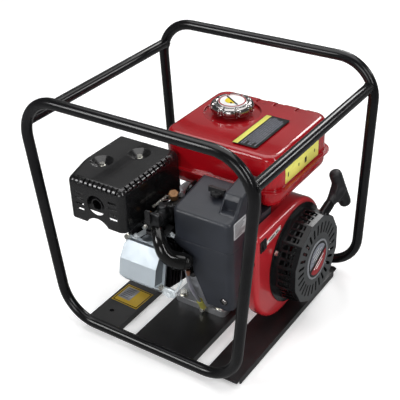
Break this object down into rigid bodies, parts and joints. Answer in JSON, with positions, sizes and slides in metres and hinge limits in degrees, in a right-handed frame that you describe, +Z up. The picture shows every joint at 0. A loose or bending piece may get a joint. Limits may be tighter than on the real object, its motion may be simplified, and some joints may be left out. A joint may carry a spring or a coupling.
{
  "type": "petrol engine power unit in a carrying frame",
  "caption": "Small petrol engine with a fuel tank, muffler, air cleaner and recoil starter in a tubular carrying frame, with a keyed drive shaft for a pump.",
  "frame": {"origin": "on the ground, at the middle of the bounding box's footprint", "axes": "+X along the crankshaft towards the recoil starter, +Y from the muffler side to the tank side, +Z up"},
  "size_m": [0.4432, 0.3997, 0.441],
  "materials": {
    "frame_black": "glossy black enamel",
    "plate_black": "satin black paint",
    "zinc_steel": "zinc plated",
    "cast_aluminium": "as cast, silver painted",
    "machined_steel": "ground",
    "gasket_grey": "fibre",
    "iron_grey": "as cast",
    "muffler_black": "heat resistant black, semi-gloss",
    "black_plastic": "moulded",
    "charcoal_plastic": "moulded, faint grain",
    "filter_paper": "pleated",
    "tank_red": "glossy enamel",
    "housing_red": "glossy enamel",
    "recoil_black": "glossy sides, grained face",
    "grip_rubber": "moulded",
    "boot_rubber": "glossy",
    "earth_grey": "insulated wire",
    "rope_white": "braided",
    "cap_chrome": "polished",
    "lever_zinc": "plated"
  },
  "bodies": {
    "root": {"air_cleaner_case": "charcoal_plastic", "air_cleaner_cover": "charcoal_plastic", "blower_housing": "housing_red", "carburettor": "cast_aluminium", "connecting_rod": "cast_aluminium", "cover_bolts": "zinc_steel", "crankcase_cover": "cast_aluminium", "cylinder_block": "cast_aluminium", "cylinder_head": "cast_aluminium", "drain_bolt": "zinc_steel", "earth_lead": "earth_grey", "engine_bolts": "zinc_steel", "filter_element": "filter_paper", "front_loop": "frame_black", "fuel_hose": "boot_rubber", "fuel_tank": "tank_red", "head_gasket": "gasket_grey", "ht_lead": "boot_rubber", "ignition_coil": "black_plastic", "insulator": "black_plastic", "left_crossbar": "frame_black", "left_plate": "plate_black", "m5_bolts": "zinc_steel", "main_bearings": "machined_steel", "middle_plate": "plate_black", "muffler": "muffler_black", "muffler_shield": "muffler_black", "piston": "cast_aluminium", "rear_loop": "frame_black", "recoil_cover": "recoil_black", "recoil_spring": "machined_steel", "right_crossbar": "frame_black", "right_plate": "plate_black", "spark_plug": "zinc_steel", "spark_plug_cap": "boot_rubber", "starter_rope": "rope_white", "switch_box": "black_plastic", "tank_brackets": "zinc_steel", "tank_strainer": "filter_paper", "throttle_bracket": "zinc_steel", "valve_cover": "cast_aluminium", "wrist_pin": "zinc_steel"},
    "crank": {"crankshaft": "machined_steel", "crank_gear": "machined_steel", "flywheel": "iron_grey", "cooling_fan": "black_plastic", "starter_cup": "machined_steel", "flywheel_nut": "zinc_steel"},
    "cam": {"camshaft": "machined_steel"},
    "handle": {"starter_handle": "grip_rubber"},
    "pulley": {"recoil_pulley": "machined_steel", "starter_pawls": "machined_steel"},
    "cap": {"fuel_cap": "cap_chrome"},
    "choke": {"choke_lever": "lever_zinc"},
    "fuel_tap": {"fuel_tap_lever": "lever_zinc"},
    "throttle": {"throttle_lever": "lever_zinc"},
    "stop_switch": {"engine_switch": "black_plastic"},
    "cleaner_knob": {"air_cleaner_knob": "black_plastic"},
    "dipstick": {"oil_dipstick": "black_plastic"}
  },
  "joints": [
    {"name": "crank_spin", "type": "hinge", "parent": "root", "child": "crank", "pos_m": [0, 0.054, 0.118], "axis": [1, 0, 0], "continuous": true},
    {"name": "cam_spin", "type": "hinge", "parent": "root", "child": "cam", "pos_m": [0, 0.06642, 0.16436], "axis": [1, 0, 0], "continuous": true},
    {"name": "starter_pull", "type": "slide", "parent": "root", "child": "handle", "axis": [0, 0.965, 0.2622], "range_m": [0, 0.6]},
    {"name": "pulley_turn", "type": "hinge", "parent": "root", "child": "pulley", "pos_m": [0.166, 0.054, 0.118], "axis": [1, 0, 0], "range_deg": [-1080, 0]},
    {"name": "cap_turn", "type": "hinge", "parent": "root", "child": "cap", "pos_m": [-0.01, 0.106, 0.3302], "axis": [0, 0, 1], "range_deg": [0, 90]},
    {"name": "choke_turn", "type": "hinge", "parent": "root", "child": "choke", "pos_m": [-0.016, -0.13838, 0.23698], "axis": [0, 1, 0], "range_deg": [0, 75]},
    {"name": "fuel_tap_turn", "type": "hinge", "parent": "root", "child": "fuel_tap", "pos_m": [-0.02, -0.069, 0.21298], "axis": [0, 1, 0], "range_deg": [0, 90]},
    {"name": "throttle_turn", "type": "hinge", "parent": "root", "child": "throttle", "pos_m": [0, -0.02, 0.212], "axis": [0, 0, 1], "range_deg": [-45, 0]},
    {"name": "switch_rock", "type": "hinge", "parent": "root", "child": "stop_switch", "pos_m": [0.146, -0.058, 0.197], "axis": [0, 1, 0], "range_deg": [-12, 6]},
    {"name": "cleaner_knob_turn", "type": "hinge", "parent": "root", "child": "cleaner_knob", "pos_m": [0.067, -0.066, 0.273], "axis": [0, 0, 1], "range_deg": [0, 720]},
    {"name": "dipstick_turn", "type": "hinge", "parent": "root", "child": "dipstick", "pos_m": [-0.03, -0.006, 0.052], "axis": [0, -1, 0], "range_deg": [0, 720]}
  ],
  "couplings": [
    {"joint": "cam_spin", "follows": "crank_spin", "ratio": -0.5},
    {"joint": "pulley_turn", "follows": "starter_pull", "rad_per_m": -31.25}
  ]
}
